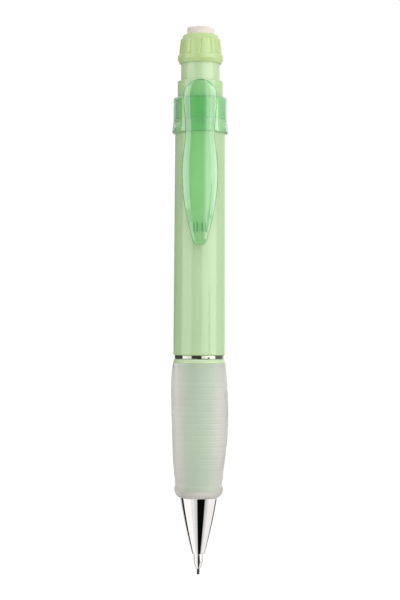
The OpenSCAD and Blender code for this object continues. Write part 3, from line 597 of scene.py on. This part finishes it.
def arm_section(z):
    """Ring of points around the arm at a height, front first."""
    w, b, d = arm_half(z), arm_behind(z), arm_depth(z)
    end_round = quarter(min(z - ARM_LOW_Z, ARM_TOP_Z - z), EDGE_ROUND)
    end_fall = END_BEVEL * bevel(max(0.0, 1 - (z - ARM_LOW_Z) / END_BEVEL)) + end_round
    ring = []
    for k in range(ARM_ACROSS + 1):
        u = -math.cos(math.pi * k / ARM_ACROSS)
        fall = arm_fall(u, w) + end_fall + quarter((1 - abs(u)) * w, EDGE_ROUND)
        ring.append((w * u, fall - b - d, z))
    for k in range(ARM_ACROSS + 1):
        u = math.cos(math.pi * k / ARM_ACROSS)
        lift = quarter((1 - abs(u)) * w, EDGE_ROUND) + end_round
        ring.append((w * u, (u * w) ** 2 / (2 * BACK_ROUND) - b - lift, z))
    return ring


def rib_ring(x, y, half_w):
    corners = ((-1, -1), (1, -1), (1, 1), (-1, 1))
    return [(x + across * half_w, y, RIB_Z + along * RIB_LEN / 2) for across, along in corners]


stations = [
    ease(ARM_LOW_Z, ARM_TOP_Z, ARM_END + (1 - 2 * ARM_END) * i / ARM_STATIONS)
    for i in range(ARM_STATIONS + 1)
]
arm = lofted("clip_leaf", [arm_section(z) for z in stations])
stem = block(
    (-STEM_W / 2, -ARM_BACK - ARM_THICK / 2, COLLAR_Z + OVERLAP),
    (STEM_W / 2, -STEM_Y, COLLAR_TOP_Z - OVERLAP),
)
ribs = [
    lofted("helper", [
        rib_ring(s * RIB_SPREAD, -ARM_RIB_BACK - OVERLAP, RIB_W / 2 + RIB_DRAFT),
        rib_ring(s * RIB_SPREAD, -barrel_r(RIB_Z) - RIB_GAP, RIB_W / 2 - RIB_DRAFT),
    ])
    for s in (-1, 1)
]
cut(arm, "UNION", [stem] + ribs)
piece(arm, "clip", "clear_green", "clip_arm")
arm.data.materials.append(EDGE_SHADE)
# Painted shade: dark green on the faces along the arm's edges and on the sides of the contact ribs
for face in arm.data.polygons:
    x, z = abs(face.center.x) / MM, face.center.z / MM
    at_edge = x > min(arm_half(z) - SHADE_EDGE_W, arm_half(z + SHADE_EDGE_W), arm_half(z - SHADE_EDGE_W))
    on_rib = abs(z - RIB_Z) < RIB_LEN / 2 and abs(face.normal.x) > RIB_FACING
    if at_edge or on_rib:
        face.material_index = 1

# Push tube with the two slots for the eraser holder's lugs
PUSH_ROUND, BEAD_FOOT_ROUND, BEAD_ROUND, PUSH_TOP_ROUND = 0.1, 0.2, 0.1, 0.08
push = lathe("push_sleeve", rounded([
    (PUSH_BORE, PUSH_Z), (PUSH_R, PUSH_Z, PUSH_ROUND), (PUSH_R, BEAD_Z - BEAD_LEN, BEAD_FOOT_ROUND),
    (PUSH_R + BEAD_H, BEAD_Z - BEAD_LEN / 4, BEAD_ROUND),
    (PUSH_R + BEAD_H, BEAD_Z + BEAD_LEN / 4, BEAD_ROUND),
    (PUSH_R, BEAD_Z + BEAD_LEN, BEAD_ROUND), (PUSH_R, PUSH_TOP_Z, PUSH_TOP_ROUND), (PUSH_BORE, PUSH_TOP_Z),
]))
slots = block((-2 * PUSH_R, -SLOT_W / 2, SLOT_LOW_Z), (2 * PUSH_R, SLOT_W / 2, SLOT_TOP_Z))
cut(push, "DIFFERENCE", [slots])
piece(push, "eraser_unit", "mint_plastic", "push_tube")
# Painted light: the push tube gets the paler copy of the mint plastic, brightening it where the knob shades
# it
push.data.materials[0] = MINT_PAINTED_LIGHT

# Knob with ribs between round-bottomed grooves
SIDES_PER_RIB, KNOB_ROWS = 32, 14
CAP_FILLET, CAP_DRAFT, CAP_ROUND, LEAD_IN = 0.08, 0.35, 0.4, 0.2
KNOB_FOOT_IN, KNOB_FOOT_SHARE, KNOB_LEAN_IN, KNOB_LEAN_FROM = 0.45, 0.4, 0.1, 0.8
KNOB_BORE_ROUND, KNOB_FOOT_ROUND, KNOB_BELLY_ROUND = 0.05, 0.1, 0.6
KNOB_BROW_ROUND, KNOB_WAIST_ROUND, KNOB_MOUTH_ROUND = 0.3, 0.15, 0.15
KNOB_END_WIDER, KNOB_END_LEN, KNOB_END_ROUND = 0.03, 0.3, 0.15


def knob_rib_r(t):
    """Radius over the ribs at a share of their height."""
    return KNOB_LOW_R + (KNOB_RIB_R - KNOB_LOW_R) * t


def knob_shape(r, z, a):
    if KNOB_RIB_Z < z < KNOB_CAP_Z + CAP_FILLET and r > KNOB_CAP_R:
        pitch = 2 * math.pi / KNOB_RIBS
        gap = (a + math.pi / 2 + pitch / 2) % pitch - pitch / 2
        across = min(GROOVE_R, abs(gap) * r)
        foot = min(1.0, (z - KNOB_RIB_Z) / GROOVE_R)
        side_r = knob_rib_r((z - KNOB_RIB_Z) / (KNOB_CAP_Z - KNOB_RIB_Z))
        depth = foot * math.sqrt(GROOVE_R ** 2 - across ** 2)
        r -= (r - KNOB_CAP_R) / (side_r - KNOB_CAP_R) * depth
    return r * math.cos(a), r * math.sin(a), z


foot_rise = KNOB_FOOT_SHARE * (KNOB_RIB_Z - KNOB_Z)
knob_outline = rounded([
    (KNOB_BORE + LEAD_IN, KNOB_Z, KNOB_BORE_ROUND), (KNOB_FLANGE_R - KNOB_FOOT_IN, KNOB_Z, KNOB_FOOT_ROUND),
    (KNOB_FLANGE_R, KNOB_Z + foot_rise, KNOB_BELLY_ROUND),
    (KNOB_FLANGE_R, KNOB_RIB_Z - foot_rise / 2, KNOB_BROW_ROUND),
    (KNOB_LOW_R, KNOB_RIB_Z, KNOB_WAIST_ROUND),
])
for i in range(1, KNOB_ROWS):
    t = i / KNOB_ROWS
    side_r = knob_rib_r(t) - KNOB_LEAN_IN * max(0, t - KNOB_LEAN_FROM)
    knob_outline.append((side_r, KNOB_RIB_Z + (KNOB_CAP_Z - KNOB_RIB_Z) * t))
knob_outline += rounded([
    (KNOB_RIB_R + KNOB_END_WIDER, KNOB_CAP_Z - KNOB_END_LEN), (KNOB_RIB_R, KNOB_CAP_Z, KNOB_END_ROUND),
    (KNOB_CAP_R, KNOB_CAP_Z, CAP_FILLET), (KNOB_CAP_R - CAP_DRAFT, KNOB_TOP_Z, CAP_ROUND),
    (SLEEVE_BORE, KNOB_TOP_Z, KNOB_MOUTH_ROUND), (SLEEVE_BORE, SLEEVE_TOP_Z), (SLEEVE_R, SLEEVE_TOP_Z),
    (SLEEVE_R, KNOB_RIB_Z), (KNOB_BORE, KNOB_RIB_Z), (KNOB_BORE, BEAD_Z + BEAD_LEN),
    (KNOB_BORE + BEAD_H, BEAD_Z + BEAD_LEN / 4), (KNOB_BORE + BEAD_H, BEAD_Z - BEAD_LEN / 4),
    (KNOB_BORE, BEAD_Z - BEAD_LEN), (KNOB_BORE, KNOB_Z + LEAD_IN),
])[1:]
knob = lathe("knob_cap", knob_outline, KNOB_RIBS * SIDES_PER_RIB, knob_shape)
piece(knob, "knob", "knob_plastic", "twist_knob")

# Eraser, rubbed lower at one side of its top
RUB_DEPTH, RUB_FALL, RUB_FROM = 0.6, 0.5, 0.35
ERASER_FOOT_ROUND, ERASER_ROUND = 0.1, 0.5
TOP_RINGS = (0.8, 0.65, 0.5, 0.35, 0.2)


def worn_eraser(r, z, a):
    x, y = r * math.cos(a), r * math.sin(a)
    rub = max(0.0, x / ERASER_R - RUB_FROM) ** 2
    near_top = max(0.0, (z - ERASER_TOP_Z + RUB_DEPTH) / RUB_DEPTH)
    return x, y, z - RUB_FALL * rub * near_top


eraser = lathe("eraser_stick", rounded([
    (0, ERASER_FOOT_Z), (ERASER_FOOT_R, ERASER_FOOT_Z, ERASER_FOOT_ROUND), (ERASER_FOOT_R, ERASER_BODY_Z),
    (ERASER_R, ERASER_BODY_Z, ERASER_FOOT_ROUND), (ERASER_R, ERASER_TOP_Z - RUB_DEPTH),
    (ERASER_R, ERASER_TOP_Z, ERASER_ROUND),
    *((ERASER_R * t, ERASER_TOP_Z) for t in TOP_RINGS), (0, ERASER_TOP_Z),
], FINE_STEPS), SMALL_SIDES, worn_eraser)
piece(eraser, "eraser_stick", "eraser_vinyl", "eraser")

# Return spring between the clutch sleeve and the coupling
TURN_STEPS, WIRE_SIDES, SEAT_GAP, END_EASE = 36, 12, 0.05, 12
rise = SPRING_LEN - 2 * WIRE_R - 2 * SEAT_GAP
coil_steps = SPRING_TURNS * TURN_STEPS
wire = []
for i in range(coil_steps + 1):
    t = i / coil_steps
    a = 2 * math.pi * SPRING_TURNS * t
    z = SPRING_Z + SEAT_GAP + WIRE_R + rise * (t - math.sin(2 * math.pi * t) / END_EASE)
    ring = []
    for k in range(WIRE_SIDES):
        q = 2 * math.pi * k / WIRE_SIDES
        r = SPRING_R + WIRE_R * math.cos(q)
        ring.append((r * math.cos(a), r * math.sin(a), z + WIRE_R * math.sin(q)))
    wire.append(ring)
spring = lofted("spring_coil", wire, WIRE_SHARP_DEG)
piece(spring, "feed_unit", "spring_steel", "return_spring")
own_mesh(spring)

# CAD nodes that stay get the same finishes
for part in frame["record"]["subparts"]:
    obj = frame["nodes"][part["node"]]
    if not obj.hide_render:
        obj.data.materials.clear()
        obj.data.materials.append(PAINTS[part["material_slot"]])

# Camera, from places in the picture in pixels and the size of one pixel at the pencil's axis
PX = 0.256 * MM
FOCAL_PX, WIDE_PX, HIGH_PX = 1850, 400, 600
TIP_ROW, HORIZON_ROW, AXIS_COLUMN = 573.4, 328.4, 198.93
SENSOR_MM, CLIP_START, ROLL_DEG = 36, 0.01, 0.266
lens = bpy.data.cameras.new("camera")
camera = bpy.data.objects.new("camera", lens)
scene.collection.objects.link(camera)
lens.sensor_width = SENSOR_MM
lens.lens = SENSOR_MM * FOCAL_PX / HIGH_PX
lens.clip_start = CLIP_START
pitch = math.atan((HORIZON_ROW - (HIGH_PX - 1) / 2) / FOCAL_PX)
camera.location = (((WIDE_PX - 1) / 2 - AXIS_COLUMN) * PX, -FOCAL_PX * PX, (TIP_ROW - HORIZON_ROW) * PX)
level = Euler((math.pi / 2 + pitch, 0, 0)).to_matrix()
camera.rotation_euler = (level @ Matrix.Rotation(math.radians(ROLL_DEG), 3, "Z")).to_euler()
scene.camera = camera

# Studio: white backdrop, a soft box on each side and darkness at the camera's side
PEAK, TOP_GLOSS, TOP_SOFT, DOWN_GLOSS, NO_BOUNCE = 6.0, 1.0, 1.02, 0.7, 0.5
RIGHT_BOX_FROM, RIGHT_BOX_DROP = 47, 0.023
# Heights of a direction between which one set of bands gives way to the next
FOOT_EDGE, LOW_EDGE, DOWN_EDGE = (0.012, -0.004), (-0.112, -0.121), (-0.78, -0.85)
TOP_EDGE, CLEAR_DOWN_EDGE = (0.36, 0.42), (-0.45, -0.6)
# A band: azimuth in degrees where it starts, brightness and, if not the usual, half its edge's width
USUAL_EDGE = 1.5
SHARED_BANDS = [
    (-180, 1.0), (-160, 0.15), (-84, 2.6), (-58, 2.2, 6), (-36, 0.1, 3), (12, 2.3, 4), (31, 2.9, 4),
]
LEVEL_BANDS = SHARED_BANDS + [(41, 3.7, 4), (62, 3.0, 6), (81, 0.35), (139, 1.0)]
FOOT_BANDS = SHARED_BANDS + [(40.5, 0.1), (50, 3.2), (81, 0.35), (139, 1.0)]
LOW_BANDS = [
    (-180, 0.75), (-139, 0.01), (-112, 1.09), (-52, 0.92), (-28, 0.7), (-9, 0.003),
    (43, 0.58), (54, 0.8), (68, 0.98), (136, 0.12), (170, 0.6),
]
SOFT_BANDS = [(-180, 0.2), (-89, 0.15), (-36, 1.28), (14, 2.04), (100, 0.8)]
CLEAR_BANDS = [(-180, 1.0), (-150, 0.4), (-36, 1.2), (14, 1.6), (100, 0.7), (150, 1.0)]
world = bpy.data.worlds.new("studio")
scene.world = world
world.use_nodes = True
sky = world.node_tree
sky.nodes.clear()


def math_node(operation, a, b):
    return add_node(sky, "Math", 0, {"operation": operation}, i0=a, i1=b)


def share(value, limits):
    """From 0 at the first limit to 1 at the second."""
    return add_node(sky, "MapRange", i0=value, i1=limits[0], i2=limits[1], i3=0.0, i4=1.0)


def mixed(fac, a, b):
    return add_node(sky, "Mix", i0=fac, i2=a, i3=b)


def bands(turn, levels):
    """Brightness around the horizon, in steps at the given azimuths, as a share of the peak."""
    out = add_node(sky, "ValToRGB", i0=turn)
    stops = out.node.color_ramp.elements
    stops.remove(stops[1])
    edges = [levels[0]]
    for (_, before, *_), (at, after, *width) in zip(levels, levels[1:]):
        half = width[0] if width else USUAL_EDGE
        edges += [(at - half, before), (at + half, after)]
    edges.append((180, levels[-1][1]))
    for i, (at, value) in enumerate(edges):
        stop = stops[0] if i == 0 else stops.new((at + 180) / 360)
        stop.color = (value / PEAK, value / PEAK, value / PEAK, 1)
    return out


x, y, z = add_node(sky, "SeparateXYZ", i0=add_node(sky, "TexCoord")).node.outputs
azimuth = math_node("ARCTAN2", x, math_node("MULTIPLY", y, -1.0))
turn = math_node("ADD", math_node("DIVIDE", azimuth, 2 * math.pi), 0.5)
right = math_node("GREATER_THAN", turn, 0.5 + RIGHT_BOX_FROM / 360)
height = math_node("ADD", z, math_node("MULTIPLY", right, RIGHT_BOX_DROP))
around = mixed(share(z, FOOT_EDGE), bands(turn, LEVEL_BANDS), bands(turn, FOOT_BANDS))
around = mixed(share(height, LOW_EDGE), around, bands(turn, LOW_BANDS))
around = mixed(share(z, DOWN_EDGE), around, DOWN_GLOSS / PEAK)
around = mixed(share(z, TOP_EDGE), around, TOP_GLOSS / PEAK)
soft = mixed(share(z, TOP_EDGE), bands(turn, SOFT_BANDS), TOP_SOFT / PEAK)
clear_view = mixed(share(z, CLEAR_DOWN_EDGE), bands(turn, CLEAR_BANDS), DOWN_GLOSS / PEAK)
clear_view = mixed(share(z, TOP_EDGE), clear_view, TOP_SOFT / PEAK)
path = add_node(sky, "LightPath").node.outputs
direct = math_node("LESS_THAN", path["Diffuse Depth"], NO_BOUNCE)
mirror = math_node("MULTIPLY", path["Is Glossy Ray"], direct)
through = math_node("MULTIPLY", path["Is Transmission Ray"], direct)
lit = math_node("MULTIPLY", mixed(through, mixed(mirror, soft, around), clear_view), PEAK)
seen = mixed(path["Is Camera Ray"], lit, 1.0)
back = add_node(sky, "Background", i0=(1, 1, 1, 1), i1=seen)
sky.links.new(back, sky.nodes.new("ShaderNodeOutputWorld").inputs["Surface"])

# Floor: just below the lead fed out, pale and plain, lifted to white for the camera but keeping the shadow
FLOOR_HALF, FLOOR_DROP, FLOOR_PARTS, FLOOR_GREY, FLOOR_LIFT = 2.0, 0.0101, 8, 0.8, 0.24
bm = bmesh.new()
bmesh.ops.create_grid(
    bm, x_segments=FLOOR_PARTS, y_segments=FLOOR_PARTS, size=FLOOR_HALF,
    matrix=Matrix.Translation((0, 0, -FLOOR_DROP)),
)
floor = made("floor", bm)
ground = bpy.data.materials.new("floor")
ground.use_nodes = True
tree = ground.node_tree
tree.nodes.clear()
ray = add_node(tree, "LightPath").node.outputs
either = add_node(
    tree, "Math", 0, {"operation": "MAXIMUM"}, i0=ray["Is Camera Ray"], i1=ray["Is Transmission Ray"],
)
lift = add_node(tree, "Math", 0, {"operation": "MULTIPLY"}, i0=either, i1=FLOOR_LIFT)
dull = add_node(tree, "BsdfDiffuse", Color=(FLOOR_GREY, FLOOR_GREY, FLOOR_GREY, 1))
glow = add_node(tree, "Emission", Strength=lift)
both = add_node(tree, "AddShader", i0=dull, i1=glow)
tree.links.new(both, tree.nodes.new("ShaderNodeOutputMaterial").inputs["Surface"])
floor.data.materials.append(ground)
floor.visible_glossy = False
